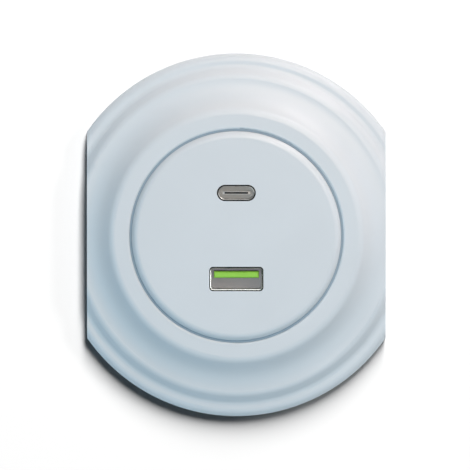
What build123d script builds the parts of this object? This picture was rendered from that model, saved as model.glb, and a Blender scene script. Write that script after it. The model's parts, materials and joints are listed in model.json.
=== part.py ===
from build123d import *

import math
import os

# USB wall socket for a flush box: every size in millimetres.
# Modelled with x to the right, y up the wall and z out of the wall; the wall's face is z = 0.

# Cover frame, in the order of its section from the opening out to the wall
GANG_WIDTH = 71.0
FRAME_WALL = 2.2
LIP_ROUND = 0.6
LIP_ANGLE = 90.0
LIP_FLAT = 2.9
SHOULDER_ROUND = 2.35
COVE_RADIUS = 7.8
COVE_ANGLE = 54.0
COVE_FLAT = 0.25
STEP_EDGE_ROUND = 1.8
STEP_SLOPE = 1.35
STEP_ANGLE = 47.0
STEP_FOOT_ROUND = 1.6
RIM_FLAT = 0.77
RIM_ROUND = 1.8
RIM_TOP = 4.4
RIB_COUNT = 8
RIB_THICK = 1.2
RIB_GAP = 1.0

# Centre plate and the ledge it lies on
PLATE_DIAMETER = 49.6
PLATE_GAP = 0.45
PLATE_THICK = 2.1
PLATE_PROUD = 1.0
PLATE_EDGE_ROUND = 1.65
PLATE_EDGE_ANGLE = 45.0
PLATE_EDGE_SLOPE = 0.55
LEDGE_WIDTH = 2.3
LEDGE_THICK = 2.2
CLIP_THICK = 1.4
CLIP_WIDTH = 7.0
CLIP_LENGTH = 4.6
HOOK_HEIGHT = 1.2
HOOK_REACH = 0.6
HOOK_LEAD = 0.6
GROOVE_CLEARANCE = 0.2
SNAP_CLEARANCE = 0.3
MOUTH_CHAMFER = 0.08

# USB-A socket
PORT_PITCH = 20.4
PORT_RECESS = 0.05
SHEET = 0.2
MOUTH_FLARE = 0.19
USB_A_WIDTH = 12.04
USB_A_HEIGHT = 4.98
USB_A_CORNER = 0.5
USB_A_LENGTH = 14.0
USB_A_DEPTH = 9.6
USB_A_GAP = 0.13
PLUG_FIT = 0.02
TONGUE_WIDTH = 10.6
TONGUE_THICK = 1.5
TONGUE_LIFT = 1.0
TONGUE_SETBACK = 0.9
TONGUE_TIP = 0.25
CONTACT_WIDTH = 1.0
CONTACT_INNER = 1.0
CONTACT_OUTER = 3.5
CONTACT_THICK = 0.25
CONTACT_SETBACK = 0.6
SHELL_LEG_WIDTH = 2.0
SHELL_LEG_LENGTH = 2.3
LEG_CLEARANCE = 0.1

# USB-C socket
USB_C_WIDTH = 8.3
USB_C_HEIGHT = 2.94
USB_C_END_FLAT = 0.02
USB_C_LENGTH = 8.2
USB_C_DEPTH = 6.4
USB_C_GAP = 0.2
C_TONGUE_WIDTH = 6.69
C_TONGUE_THICK = 0.7
C_TONGUE_SETBACK = 0.8
C_TONGUE_TIP = 0.55
C_CONTACT_PITCH = 0.5
C_CONTACT_WIDTH = 0.25
C_CONTACT_THICK = 0.06
C_CONTACT_COUNT = 12
C_CONTACT_SETBACK = 0.3
RISER_MARGIN = 0.6

# Charger housing
COVER_WALL = 1.8
COVER_FLANGE = 2.0
FLANGE_EDGE = 0.8
SPIGOT_WALL = 1.45
WINDOW_CLEARANCE = 0.15
HOUSING_WALL = 2.0
FLOOR_GAP = 0.9
HOUSING_EXTRA_HEIGHT = 2.0
HOUSING_CORNER = 3.0
HOUSING_BACK_ROUND = 0.8
BOSS_RADIUS = 2.8
BOSS_COVER = 1.1
HOUSING_SCREW_RADIUS = 1.25
HOUSING_SCREW_HEAD = 2.0
HOUSING_SCREW_LENGTH = 10.0
HOUSING_HEAD_HEIGHT = 1.5
SCREW_CLEARANCE = 0.15
FIT_CLEARANCE = 0.1

# Support ring
RING_THICK = 1.2
RING_MARGIN = 6.0
RING_ROUNDNESS = 0.75
RING_SIDE_GAP = 0.8
RING_OPENING = 33.2
SPIGOT_CLEARANCE = 0.15
BOX_SCREW_PITCH = 60.0
BOX_SLOT_RADIUS = 2.0
BOX_SLOT_LENGTH = 7.0
SIDE_SLOT_DEPTH = 5.5
RING_HOLE_RADIUS = 1.6
RING_HOLE_X = 18.5
RING_HOLE_Y = 26.5
EAR_THICK = 1.2

# Spreading claws, one each side
CLAW_SWING = 36.0
CLAW_LEVER = 4.6
CLAW_THICK = 1.5
CLAW_WIDTH = 8.2
CLAW_HUB = 2.2
CLAW_PIN_RADIUS = 1.0
CLAW_PIN_FIT = 0.05
CLAW_PIN_PROUD = 0.2
EAR_GAP = 0.2
CLAW_DEPTH = 18.5
CLAW_TOOTH = 4.4
CLAW_FORK = 3.6
FORK_TIP = 1.1
FORK_ROOT = 0.9
ARM_INSET = 0.4
TOOTH_LAND = 1.0
TOOTH_NOTCH = 1.6
CLAW_SIDE_GAP = 0.6
PIVOT_DEPTH = 6.0
CLAW_SCREW_RADIUS = 1.5
CLAW_SCREW_HEAD = 2.6
CLAW_HEAD_HEIGHT = 2.0
CLAW_NUT_RADIUS = 2.2
CLAW_NUT_LENGTH = 7.6
CLAW_NUT_GAP = 0.15
CLAW_SCREW_PROUD = 0.2
THREAD_PITCH = 0.5
DRIVER_SLOT = 0.7

# Boards
BOARD_THICK = 1.6
BOARD_GAP = 3.4
BOARD_EDGE = 0.2
SPACER_RADIUS = 1.6
POST_RADIUS = 1.4
POST_INSET = 0.5
SPACER_INSET_X = 1.5
SPACER_INSET_Y = 1.0
PAD_WIDTH = 4.0
PAD_REACH = 1.5
PAD_GAP = 0.5
LINK_PIN = 0.64
LINK_PITCH = 2.54

# Parts on the boards
PART_GAP = 0.8
CAN_ROW = 11.0
TRANSFORMER_ROW = 10.0
CORE_WIDTH = 14.6
CORE_DEPTH = 5.5
CORE_HEIGHT = 12.5
CORE_LIMB = 4.2
CORE_YOKE = 2.0
BOBBIN_WALL = 0.7
BOBBIN_DEPTH = 13.0
WINDING_INSET = 0.2
WINDING_ROUND = 1.2
BOBBIN_PIN_INSET = 0.8
BULK_RADIUS = 4.3
SECOND_BULK_RADIUS = 4.0
BULK_HEIGHT = 12.0
OUTPUT_RADIUS = 2.3
OUTPUT_HEIGHT = 9.0
OUTPUT_INSET = 0.7
CAN_BEAD_SHARE = 0.16
CAN_BEAD_OUT = 0.25
CAN_BEAD_RADIUS = 0.5
CAN_EDGE_ROUND = 0.5
FUSE_RADIUS = 2.0
FUSE_HEIGHT = 9.0
FUSE_EDGE_ROUND = 0.4
CHOKE_RADIUS = 3.4
CHOKE_HEIGHT = 8.5
CHOKE_FLANGE = 1.2
CHOKE_CORE = 1.7
CHOKE_WIRE_INSET = 0.4
XCAP_WIDTH = 12.0
XCAP_THICK = 5.0
XCAP_HEIGHT = 10.0
XCAP_EDGE_ROUND = 0.4
DISC_RADIUS = 3.4
DISC_THICK = 3.6
SAFETY_RADIUS = 2.6
SAFETY_THICK = 2.8
DISC_EDGE_SHARE = 0.3
LEAD = 1.0
LEAD_RADIUS = 0.3
LEAD_SPREAD_SHARE = 0.6

# Chips: place on the board, then width, depth and height
RECTIFIER_AT = (-6.0, -4.0)
RECTIFIER_SIZE = (6.0, 5.0, 1.7)
CONTROLLER_AT = (6.0, -3.0)
CONTROLLER_SIZE = (5.0, 4.0, 1.5)
OPTOCOUPLER_AT = (2.0, 8.0)
OPTOCOUPLER_SIZE = (4.6, 6.5, 2.1)
CHARGER_AT = (0.0, 0.0)
CHARGER_SIZE = (4.0, 4.0, 0.9)

# Terminal blocks
POLE_WIDTH = 7.2
POLE_LENGTH = 10.0
POLE_HEIGHT = 10.0
WIRE_RADIUS = 1.7
WIRE_ENTRY = 3.0
CAGE_WIDTH = 5.0
CAGE_LENGTH = 5.4
CAGE_HEIGHT = 6.0
CAGE_WALL = 0.8
TERMINAL_SCREW_RADIUS = 1.3
TERMINAL_SCREW_HEAD = 2.0
TERMINAL_HEAD_HEIGHT = 1.6
TERMINAL_HEAD_GAP = 0.3
TERMINAL_ROOF = 1.2
POLE_CHAMFER = 0.6
DRIVER_CLEARANCE = 0.3
DRIVER_HOLE_EDGE = 0.5

# Derived sizes: cover frame section
plate_r = PLATE_DIAMETER / 2
opening_r = plate_r + PLATE_GAP
lip_turn = math.radians(LIP_ANGLE)
lip_drop = LIP_ROUND * (1 - math.cos(lip_turn))
cove_turn = math.radians(COVE_ANGLE)
step_turn = math.radians(STEP_ANGLE)
step_rounds = STEP_EDGE_ROUND + STEP_FOOT_ROUND
step_drop = step_rounds * (1 - math.cos(step_turn)) + STEP_SLOPE * math.sin(step_turn)
cove_foot_z = RIM_TOP + step_drop
cove_drop = (SHOULDER_ROUND + COVE_RADIUS) * (1 - math.cos(cove_turn))
frame_top = cove_foot_z + cove_drop
lip_end_r = opening_r + LIP_ROUND * math.sin(lip_turn) + LIP_FLAT
cove_foot_r = lip_end_r + (SHOULDER_ROUND + COVE_RADIUS) * math.sin(cove_turn)
step_run = step_rounds * math.sin(step_turn) + STEP_SLOPE * math.cos(step_turn)
frame_r = cove_foot_r + COVE_FLAT + step_run + RIM_FLAT + RIM_ROUND

# Derived sizes: plate, ledge and clips
plate_top = frame_top + PLATE_PROUD
ledge_top = plate_top - PLATE_THICK
ledge_r = plate_r - LEDGE_WIDTH
clip_outer = ledge_r - SNAP_CLEARANCE
clip_inner = clip_outer - CLIP_THICK
clip_foot = ledge_top - CLIP_LENGTH

# Derived sizes: ports
usb_a_y = -PORT_PITCH / 2
usb_c_y = PORT_PITCH / 2
mouth_z = plate_top - PORT_RECESS
usb_a_outer = (USB_A_WIDTH + 2 * SHEET, USB_A_HEIGHT + 2 * SHEET)
usb_c_outer = (USB_C_WIDTH + 2 * SHEET, USB_C_HEIGHT + 2 * SHEET)
usb_a_back = mouth_z - USB_A_DEPTH
usb_c_back = mouth_z - USB_C_DEPTH
usb_c_foot = mouth_z - USB_C_LENGTH

# Derived sizes: housing, ring and boards
cover_r = clip_inner - SNAP_CLEARANCE
cover_top = ledge_top - SNAP_CLEARANCE
flange_top = RING_THICK + COVER_FLANGE
spigot_r = RING_OPENING / 2 - SPIGOT_CLEARANCE
layout_x = BULK_RADIUS + CORE_WIDTH / 2 + PART_GAP
screw_from_cover = (cover_r + SNAP_CLEARANCE + HOUSING_SCREW_HEAD) / math.sqrt(2)
screw_at = max(screw_from_cover, layout_x + PART_GAP + BOARD_EDGE + BOSS_RADIUS)
flange_r = screw_at * math.sqrt(2) + HOUSING_SCREW_HEAD + FLANGE_EDGE
housing_x = screw_at + BOSS_RADIUS + BOSS_COVER
housing_y = housing_x + HOUSING_EXTRA_HEIGHT
inside_x = housing_x - HOUSING_WALL
inside_y = housing_y - HOUSING_WALL
port_board_top = mouth_z - USB_A_LENGTH
port_board_back = port_board_top - BOARD_THICK
mains_board_top = port_board_back - BOARD_GAP
mains_board_back = mains_board_top - BOARD_THICK
tallest = max(LEAD + CORE_HEIGHT, BULK_HEIGHT, POLE_HEIGHT)
floor_z = mains_board_back - tallest - FLOOR_GAP
housing_back = floor_z - HOUSING_WALL
ring_r = BOX_SCREW_PITCH / 2 + RING_MARGIN
ring_x = GANG_WIDTH / 2 - FRAME_WALL - RING_SIDE_GAP

# Derived sizes: claws, as close to the middle as the cover and the boards allow
column_x = screw_at - BOSS_RADIUS - BOARD_EDGE
pivot_from_cover = cover_r + SNAP_CLEARANCE + CLAW_SCREW_HEAD - CLAW_LEVER
pivot_from_board = column_x + BOARD_EDGE + HOUSING_WALL + CLAW_SIDE_GAP + CLAW_HUB
pivot_x = max(pivot_from_cover, pivot_from_board)
claw_screw_x = pivot_x + CLAW_LEVER
pocket_x = pivot_x - CLAW_HUB - CLAW_SIDE_GAP
ear_y = CLAW_WIDTH / 2 + EAR_GAP
pocket_y = ear_y + EAR_THICK + CLAW_SIDE_GAP
half_swing = math.radians(CLAW_SWING / 2)
nut_offset = CLAW_THICK / 2 + CLAW_NUT_RADIUS + CLAW_NUT_GAP
nut_z = -PIVOT_DEPTH - CLAW_LEVER * math.tan(half_swing) - nut_offset / math.cos(half_swing)
claw_screw_tip = nut_z - CLAW_NUT_RADIUS - CLAW_SCREW_PROUD

# Derived sizes: boards inside the pocketed housing
board_y = inside_y - BOARD_EDGE
wing_x = inside_x - BOARD_EDGE
wing_low = pocket_y + HOUSING_WALL + BOARD_EDGE
wing_high = column_x
terminal_x = POLE_WIDTH / 2 + FIT_CLEARANCE
terminal_y = POLE_LENGTH / 2 - housing_y
wire_z = mains_board_back - TERMINAL_ROOF - CAGE_HEIGHT / 2 + CAGE_WALL / 2
driver_r = TERMINAL_SCREW_HEAD + DRIVER_CLEARANCE


def span(x0, x1, y0, y1, z0, z1):
    """A box between two corners."""
    return Pos((x0 + x1) / 2, (y0 + y1) / 2, (z0 + z1) / 2) * Box(x1 - x0, y1 - y0, z1 - z0)


def rod(x, y, z0, z1, radius):
    """A round bar along z between two heights."""
    return Pos(x, y, (z0 + z1) / 2) * Cylinder(radius, abs(z1 - z0))


def prism(outline, z0, z1):
    """A flat outline drawn in x and y, carried from one height to another."""
    return Pos(0, 0, z0) * extrude(outline, z1 - z0)


def spun(lines):
    """A closed outline of (radius, height) lines turned round the z axis."""
    return revolve(Plane.XZ * make_face(lines), Axis.Z)


def both_sides(right):
    """A piece on the right and its mirror image on the left."""
    return right, mirror(right, Plane.YZ)


def at_corners(piece, x, y):
    """Four copies of a piece at the corners of a rectangle."""
    return [Pos(sx * x, sy * y, 0) * piece for sx in (-1, 1) for sy in (-1, 1)]


def port_outline(width, height, corner, y, grow=0.0):
    """The rounded outline of a port at height y, grown evenly all round."""
    return Pos(0, y) * RectangleRounded(width + 2 * grow, height + 2 * grow, corner + grow)


def usb_a_outline(grow=0.0):
    return port_outline(USB_A_WIDTH, USB_A_HEIGHT, USB_A_CORNER, usb_a_y, grow)


def usb_c_outline(grow=0.0):
    return port_outline(USB_C_WIDTH, USB_C_HEIGHT, (USB_C_HEIGHT - USB_C_END_FLAT) / 2, usb_c_y, grow)


# Cover frame
def frame_skin():
    """The visible section: lip, shoulder, cove, step and rim, each arc running on from the last."""
    lip_start = (math.cos(lip_turn), math.sin(lip_turn))
    lip_round = JernArc((opening_r, frame_top - lip_drop), lip_start, LIP_ROUND, -LIP_ANGLE)
    lip = Line(lip_round @ 1, (lip_end_r, frame_top))
    shoulder = JernArc(lip @ 1, (1, 0), SHOULDER_ROUND, -COVE_ANGLE)
    cove = JernArc(shoulder @ 1, shoulder % 1, COVE_RADIUS, COVE_ANGLE)
    cove_flat = Line(cove @ 1, (cove_foot_r + COVE_FLAT, cove_foot_z))
    step_edge = JernArc(cove_flat @ 1, (1, 0), STEP_EDGE_ROUND, -STEP_ANGLE)
    slope = Line(step_edge @ 1, step_edge @ 1 + (step_edge % 1) * STEP_SLOPE)
    step_foot = JernArc(slope @ 1, slope % 1, STEP_FOOT_ROUND, STEP_ANGLE)
    rim = Line(step_foot @ 1, (frame_r - RIM_ROUND, RIM_TOP))
    rim_round = JernArc(rim @ 1, (1, 0), RIM_ROUND, -90)
    wall = Line(rim_round @ 1, (frame_r, 0))
    return [lip_round, lip, shoulder, cove, cove_flat, step_edge, slope, step_foot, rim, rim_round, wall]


def frame_hollow():
    """The hollow behind the skin, kept one wall away from the cove."""
    outer = cove_foot_z + COVE_RADIUS
    sweep = COVE_RADIUS + FRAME_WALL

    def under_cove(turn):
        return (cove_foot_r - sweep * math.sin(turn), outer - sweep * math.cos(turn))

    top = under_cove(cove_turn)
    ledge_back = ledge_top - LEDGE_THICK
    rim_in = frame_r - FRAME_WALL
    collar = opening_r + FRAME_WALL
    return [
        Polyline((0, -1), (rim_in, -1), (rim_in, RIM_TOP - FRAME_WALL), under_cove(0)),
        ThreePointArc(under_cove(0), under_cove(cove_turn / 2), top),
        Polyline(top, (collar, top[1]), (collar, ledge_back), (0, ledge_back), (0, -1)),
    ]


def cover_frame():
    back = Polyline((frame_r, 0), (ledge_r, 0), (ledge_r, ledge_top), (opening_r, ledge_top),
                    (opening_r, frame_top - lip_drop))
    half = GANG_WIDTH / 2
    inner = half - FRAME_WALL
    skin = spun(frame_skin() + [back]) & span(-half, half, -frame_r, frame_r, 0, frame_top)
    hollow = spun(frame_hollow()) & span(-inner, inner, -frame_r, frame_r, -1, frame_top)
    for i in range(RIB_COUNT):
        hollow -= Rot(0, 0, (i + 0.5) * 360 / RIB_COUNT) * frame_rib()
    return skin - hollow


def frame_rib():
    """A stiffening rib in the hollow, from the collar out to the rim and clear of the ring."""
    return span(opening_r, frame_r, -RIB_THICK / 2, RIB_THICK / 2, RING_THICK + RIB_GAP, frame_top)


# Centre plate
def centre_plate():
    edge = math.radians(PLATE_EDGE_ANGLE)
    edge_run = PLATE_EDGE_ROUND * math.sin(edge) + PLATE_EDGE_SLOPE * math.cos(edge)
    face = Line((0, plate_top), (plate_r - edge_run, plate_top))
    rounding = JernArc(face @ 1, (1, 0), PLATE_EDGE_ROUND, -PLATE_EDGE_ANGLE)
    slope = Line(rounding @ 1, rounding @ 1 + (rounding % 1) * PLATE_EDGE_SLOPE)
    back = Polyline(slope @ 1, (plate_r, ledge_top), (0, ledge_top), (0, plate_top))
    plate = spun([face, rounding, slope, back])
    for quarter in range(4):
        plate += Rot(0, 0, 90 * quarter) * snap_leg()
    plate -= prism(usb_a_outline(SHEET + USB_A_GAP), ledge_top - 1, plate_top + 1)
    plate -= prism(usb_c_outline(SHEET + USB_C_GAP), ledge_top - 1, plate_top + 1)
    mouths = plate.faces().sort_by(Axis.Z)[-1].inner_wires()
    return chamfer(mouths[0].edges() + mouths[1].edges(), MOUTH_CHAMFER)


def snap_leg():
    """A leg down from the plate with a hook that bites into the front cover's groove."""
    half = CLIP_WIDTH / 2
    leg = span(clip_inner, clip_outer, -half, half, clip_foot, ledge_top)
    hook_tip = clip_inner - SNAP_CLEARANCE - HOOK_REACH
    wedge = Polyline((clip_inner, clip_foot), (hook_tip, clip_foot + HOOK_HEIGHT * HOOK_LEAD),
                     (hook_tip, clip_foot + HOOK_HEIGHT), (clip_inner, clip_foot + HOOK_HEIGHT),
                     (clip_inner, clip_foot))
    return leg + extrude(Plane.XZ * make_face(wedge), half, both=True)


# USB-A socket
def flared_tube(outer, inner, foot):
    """A sheet-metal tube up to the mouth, with its inner edge flared to guide the plug in."""
    tube = prism(outer - inner, foot, mouth_z)
    mouth = tube.faces().sort_by(Axis.Z)[-1].inner_wires()[0]
    return chamfer(mouth.edges(), MOUTH_FLARE)


def usb_a_shell():
    shell = flared_tube(usb_a_outline(SHEET), usb_a_outline(), port_board_top)
    for side in (-1, 1):
        leg_x = side * (usb_a_outer[0] - SHEET) / 2
        leg = Pos(leg_x, usb_a_y, port_board_top - SHELL_LEG_LENGTH / 2)
        shell += leg * Box(SHEET, SHELL_LEG_WIDTH, SHELL_LEG_LENGTH)
    return shell


def usb_a_insulator():
    return prism(usb_a_outline(-PLUG_FIT), port_board_top, usb_a_back)


def usb_a_tongue():
    """The tongue, with a bay in its underside for each contact."""
    half = TONGUE_WIDTH / 2
    low = usb_a_y + TONGUE_LIFT - TONGUE_THICK / 2
    tongue = span(-half, half, low, low + TONGUE_THICK, usb_a_back, mouth_z - TONGUE_SETBACK)
    tip = tongue.faces().sort_by(Axis.Z)[-1]
    tongue = chamfer(tip.edges(), TONGUE_TIP)
    for strip in usb_a_contacts():
        tongue -= strip
    return tongue


def usb_a_contacts():
    """Four strips let in flush with the underside of the tongue."""
    strips = []
    low = usb_a_y + TONGUE_LIFT - TONGUE_THICK / 2
    tip = mouth_z - TONGUE_SETBACK - CONTACT_SETBACK
    half = CONTACT_WIDTH / 2
    for x in (-CONTACT_OUTER, -CONTACT_INNER, CONTACT_INNER, CONTACT_OUTER):
        strips.append(span(x - half, x + half, low, low + CONTACT_THICK, usb_a_back, tip))
    return strips


# USB-C socket
def usb_c_shell():
    return flared_tube(usb_c_outline(SHEET), usb_c_outline(), usb_c_foot)


def usb_c_tongue():
    """A plug in the back of the shell with the thin tongue on it, narrowed at its tip, bayed for contacts."""
    plug = prism(usb_c_outline(-PLUG_FIT), usb_c_foot, usb_c_back)
    half = C_TONGUE_WIDTH / 2
    low = usb_c_y - C_TONGUE_THICK / 2
    tongue = span(-half, half, low, low + C_TONGUE_THICK, usb_c_back, mouth_z - C_TONGUE_SETBACK)
    corners = tongue.edges().filter_by(Axis.Y).sort_by(Axis.Z)[-2:]
    tongue = chamfer(corners, C_TONGUE_TIP)
    for strip in usb_c_contacts():
        tongue -= strip
    return plug + tongue


def usb_c_contacts():
    """Twelve strips on each side, flush with the tongue."""
    strips = []
    tip = mouth_z - C_TONGUE_SETBACK - C_TONGUE_TIP - C_CONTACT_SETBACK
    for side in (-1, 1):
        face = usb_c_y + side * (C_TONGUE_THICK - C_CONTACT_THICK) / 2
        for i in range(C_CONTACT_COUNT):
            x = (i - (C_CONTACT_COUNT - 1) / 2) * C_CONTACT_PITCH
            strip = Box(C_CONTACT_WIDTH, C_CONTACT_THICK, tip - usb_c_back)
            strips.append(Pos(x, face, (tip + usb_c_back) / 2) * strip)
    return strips


def usb_c_riser():
    return prism(usb_c_outline(SHEET + RISER_MARGIN), port_board_top, usb_c_foot)


# Charger housing
def front_cover():
    spigot_in = spigot_r - SPIGOT_WALL
    wall_in = cover_r - COVER_WALL
    ceiling = cover_top - COVER_WALL
    outline = Polyline((spigot_in, 0), (spigot_r, 0), (spigot_r, RING_THICK), (flange_r, RING_THICK),
                       (flange_r, flange_top), (cover_r, flange_top), (cover_r, cover_top), (0, cover_top),
                       (0, ceiling), (wall_in, ceiling), (wall_in, flange_top), (spigot_in, flange_top),
                       (spigot_in, 0))
    cover = spun(outline) & span(-cover_r, cover_r, -flange_r, flange_r, 0, cover_top)
    groove_in = cover_r - HOOK_REACH - GROOVE_CLEARANCE
    groove_top = clip_foot + HOOK_HEIGHT + GROOVE_CLEARANCE
    groove = Polyline((groove_in, clip_foot), (cover_r + 1, clip_foot), (cover_r + 1, groove_top),
                      (groove_in, groove_top), (groove_in, clip_foot))
    cover -= spun(groove)
    for side in (-1, 1):
        cover += rod(side * (column_x - POST_RADIUS - POST_INSET), 0, port_board_top, ceiling, POST_RADIUS)
    cover -= prism(usb_a_outline(SHEET + WINDOW_CLEARANCE), ceiling - 1, cover_top + 1)
    cover -= prism(usb_c_outline(SHEET + WINDOW_CLEARANCE), ceiling - 1, cover_top + 1)
    for hole in at_corners(rod(0, 0, 0, flange_top, screw_hole_r), screw_at, screw_at):
        cover -= hole
    return cover


screw_hole_r = HOUSING_SCREW_RADIUS + SCREW_CLEARANCE


def housing_plan(shrink, corner):
    """The housing's outline with a pocket in each side for the claws."""
    plan = RectangleRounded(2 * (housing_x - shrink), 2 * (housing_y - shrink), corner)
    reach = housing_x - pocket_x
    for side in (-1, 1):
        middle = side * (pocket_x - shrink + reach)
        plan -= Pos(middle, 0) * Rectangle(2 * reach, 2 * (pocket_y + shrink))
    return plan


def rear_housing():
    shell = prism(housing_plan(0, HOUSING_CORNER), housing_back, 0)
    shell = fillet(shell.faces().sort_by(Axis.Z)[0].edges(), HOUSING_BACK_ROUND)
    shell -= prism(housing_plan(HOUSING_WALL, HOUSING_CORNER - HOUSING_WALL), floor_z, 1)
    for boss in at_corners(rod(0, 0, floor_z, 0, BOSS_RADIUS), screw_at, screw_at):
        shell += boss
    screw_foot = flange_top - HOUSING_SCREW_LENGTH
    for pilot in at_corners(rod(0, 0, screw_foot - 1, 1, HOUSING_SCREW_RADIUS), screw_at, screw_at):
        shell -= pilot
    pad = span(-PAD_WIDTH / 2, PAD_WIDTH / 2, inside_y - PAD_REACH, inside_y, floor_z, mains_board_back)
    pad_x = terminal_x * 2 + PAD_WIDTH / 2 + PAD_GAP
    for side in (-1, 1):
        shell += Pos(side * pad_x, 0, 0) * pad
        shell += Pos(side * pad_x, 0, 0) * mirror(pad, Plane.XZ)
    window_x = 2 * terminal_x + FIT_CLEARANCE
    window_low = mains_board_back - POLE_HEIGHT - FIT_CLEARANCE
    shell -= span(-window_x, window_x, -housing_y - 1, -inside_y, window_low, mains_board_top)
    for side in (-1, 1):
        shell -= Pos(side * terminal_x, terminal_screw_y, housing_back) * driver_hole()
    return shell


def driver_hole():
    """A hole through the back wall with a sloped edge that leads the screwdriver in."""
    hole_r = driver_r + FIT_CLEARANCE
    edge = Cone(hole_r + DRIVER_HOLE_EDGE, hole_r, DRIVER_HOLE_EDGE)
    return rod(0, 0, -1, HOUSING_WALL, hole_r) + Pos(0, 0, DRIVER_HOLE_EDGE / 2) * edge


cage_front_y = terminal_y - POLE_LENGTH / 2 + WIRE_ENTRY + FIT_CLEARANCE
terminal_screw_y = cage_front_y + CAGE_LENGTH / 2


def slotted_screw(shank_r, head_r, head_z, head_height, tip_z):
    """A cheese-head screw on the z axis; head_z is the underside of its head, towards +z."""
    screw = rod(0, 0, tip_z, head_z, shank_r) + rod(0, 0, head_z, head_z + head_height, head_r)
    slot_foot = head_z + head_height / 2
    return screw - span(-head_r, head_r, -DRIVER_SLOT / 2, DRIVER_SLOT / 2, slot_foot, head_z + head_height)


def housing_screws():
    tip = flange_top - HOUSING_SCREW_LENGTH
    screw = slotted_screw(HOUSING_SCREW_RADIUS, HOUSING_SCREW_HEAD, flange_top, HOUSING_HEAD_HEIGHT, tip)
    return at_corners(screw, screw_at, screw_at)


# Support ring
def support_ring():
    outline = RectangleRounded(2 * ring_x, 2 * ring_r, RING_ROUNDNESS * min(ring_x, ring_r))
    outline -= Circle(RING_OPENING / 2)
    slot_span = BOX_SLOT_LENGTH - 2 * BOX_SLOT_RADIUS
    for side in (-1, 1):
        slot = Rot(0, 0, 90) * SlotCenterToCenter(slot_span, 2 * BOX_SLOT_RADIUS)
        outline -= Pos(0, side * BOX_SCREW_PITCH / 2) * slot
        side_slot = SlotCenterToCenter(2 * (SIDE_SLOT_DEPTH - BOX_SLOT_RADIUS), 2 * BOX_SLOT_RADIUS)
        outline -= Pos(side * ring_x, 0) * side_slot
        outline -= Pos(side * claw_screw_x, 0) * Circle(CLAW_SCREW_RADIUS + SCREW_CLEARANCE)
        for up in (-1, 1):
            outline -= Pos(side * screw_at, up * screw_at) * Circle(screw_hole_r)
            outline -= Pos(side * RING_HOLE_X, up * RING_HOLE_Y) * Circle(RING_HOLE_RADIUS)
    ring = prism(outline, 0, RING_THICK)
    for side in (-1, 1):
        for up in (-1, 1):
            ear = claw_ear()
            ring += Pos(side * pivot_x, up * (ear_y + EAR_THICK / 2), 0) * ear
    return ring


def claw_ear():
    """An ear bent back from the ring, with the hole for the claw's pin."""
    ear = span(-CLAW_HUB, CLAW_HUB, -EAR_THICK / 2, EAR_THICK / 2, -PIVOT_DEPTH, RING_THICK / 2)
    ear += Pos(0, 0, -PIVOT_DEPTH) * Rot(90, 0, 0) * Cylinder(CLAW_HUB, EAR_THICK)
    return ear - Pos(0, 0, -PIVOT_DEPTH) * Rot(90, 0, 0) * Cylinder(CLAW_PIN_RADIUS, 2 * EAR_THICK)


# Spreading claws, drawn folded on the right side
def claw():
    """A bell crank: a forked arm out to the screw and a toothed arm back into the box."""
    lever_end = CLAW_LEVER + CLAW_SCREW_RADIUS + FORK_TIP
    hub = Circle(CLAW_HUB)
    fork = Rot(0, 0, -CLAW_SWING / 2) * Pos(lever_end / 2, 0) * Rectangle(lever_end, CLAW_THICK)
    long_x = CLAW_THICK / 2 - CLAW_HUB + ARM_INSET
    long_arm = Pos(long_x, -CLAW_DEPTH / 2) * Rectangle(CLAW_THICK, CLAW_DEPTH)
    tooth_root = long_x - CLAW_THICK / 2
    tooth = Polyline((tooth_root, CLAW_THICK - CLAW_DEPTH), (tooth_root, -CLAW_DEPTH),
                     (tooth_root + CLAW_TOOTH, CLAW_THICK / 2 - CLAW_DEPTH),
                     (tooth_root + CLAW_TOOTH - TOOTH_LAND, CLAW_THICK - CLAW_DEPTH),
                     (tooth_root, CLAW_THICK - CLAW_DEPTH))
    side_view = hub + fork + long_arm + make_face(tooth) - Circle(CLAW_PIN_RADIUS + CLAW_PIN_FIT)
    body = extrude(Plane.XZ * side_view, CLAW_WIDTH / 2, both=True)
    fork_from = CLAW_LEVER - CLAW_SCREW_RADIUS - FORK_ROOT
    body -= span(fork_from, lever_end + 1, -CLAW_FORK / 2, CLAW_FORK / 2, -CLAW_LEVER, CLAW_LEVER)
    window_foot = PIVOT_DEPTH + claw_screw_tip - 2 * CLAW_SCREW_RADIUS
    body -= span(-CLAW_LEVER, 0, -CLAW_FORK / 2, CLAW_FORK / 2, window_foot, -CLAW_HUB - CLAW_SIDE_GAP)
    for notch in (-1, 1):
        v_cut = Pos(tooth_root + CLAW_TOOTH, notch * CLAW_WIDTH / 6, -CLAW_DEPTH)
        body -= v_cut * Rot(0, 0, 45) * Box(TOOTH_NOTCH, TOOTH_NOTCH, 4 * CLAW_THICK)
    return Pos(pivot_x, 0, -PIVOT_DEPTH) * body


def claw_pin():
    length = 2 * (ear_y + EAR_THICK + CLAW_PIN_PROUD)
    return Pos(pivot_x, 0, -PIVOT_DEPTH) * Rot(90, 0, 0) * Cylinder(CLAW_PIN_RADIUS, length)


def claw_screw():
    screw = slotted_screw(CLAW_SCREW_RADIUS, CLAW_SCREW_HEAD, RING_THICK, CLAW_HEAD_HEIGHT, claw_screw_tip)
    return Pos(claw_screw_x, 0, 0) * screw


def claw_nut():
    """A barrel nut that carries the fork along the screw."""
    barrel = Pos(0, 0, nut_z) * Rot(90, 0, 0) * Cylinder(CLAW_NUT_RADIUS, CLAW_NUT_LENGTH)
    reach = 2 * CLAW_NUT_RADIUS
    bore = rod(0, 0, nut_z - reach, nut_z + reach, CLAW_SCREW_RADIUS + CLAW_PIN_FIT)
    return Pos(claw_screw_x, 0, 0) * (barrel - bore)


# Boards
spacer_x = column_x - SPACER_RADIUS - SPACER_INSET_X
spacer_y = board_y - SPACER_RADIUS - SPACER_INSET_Y


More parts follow.
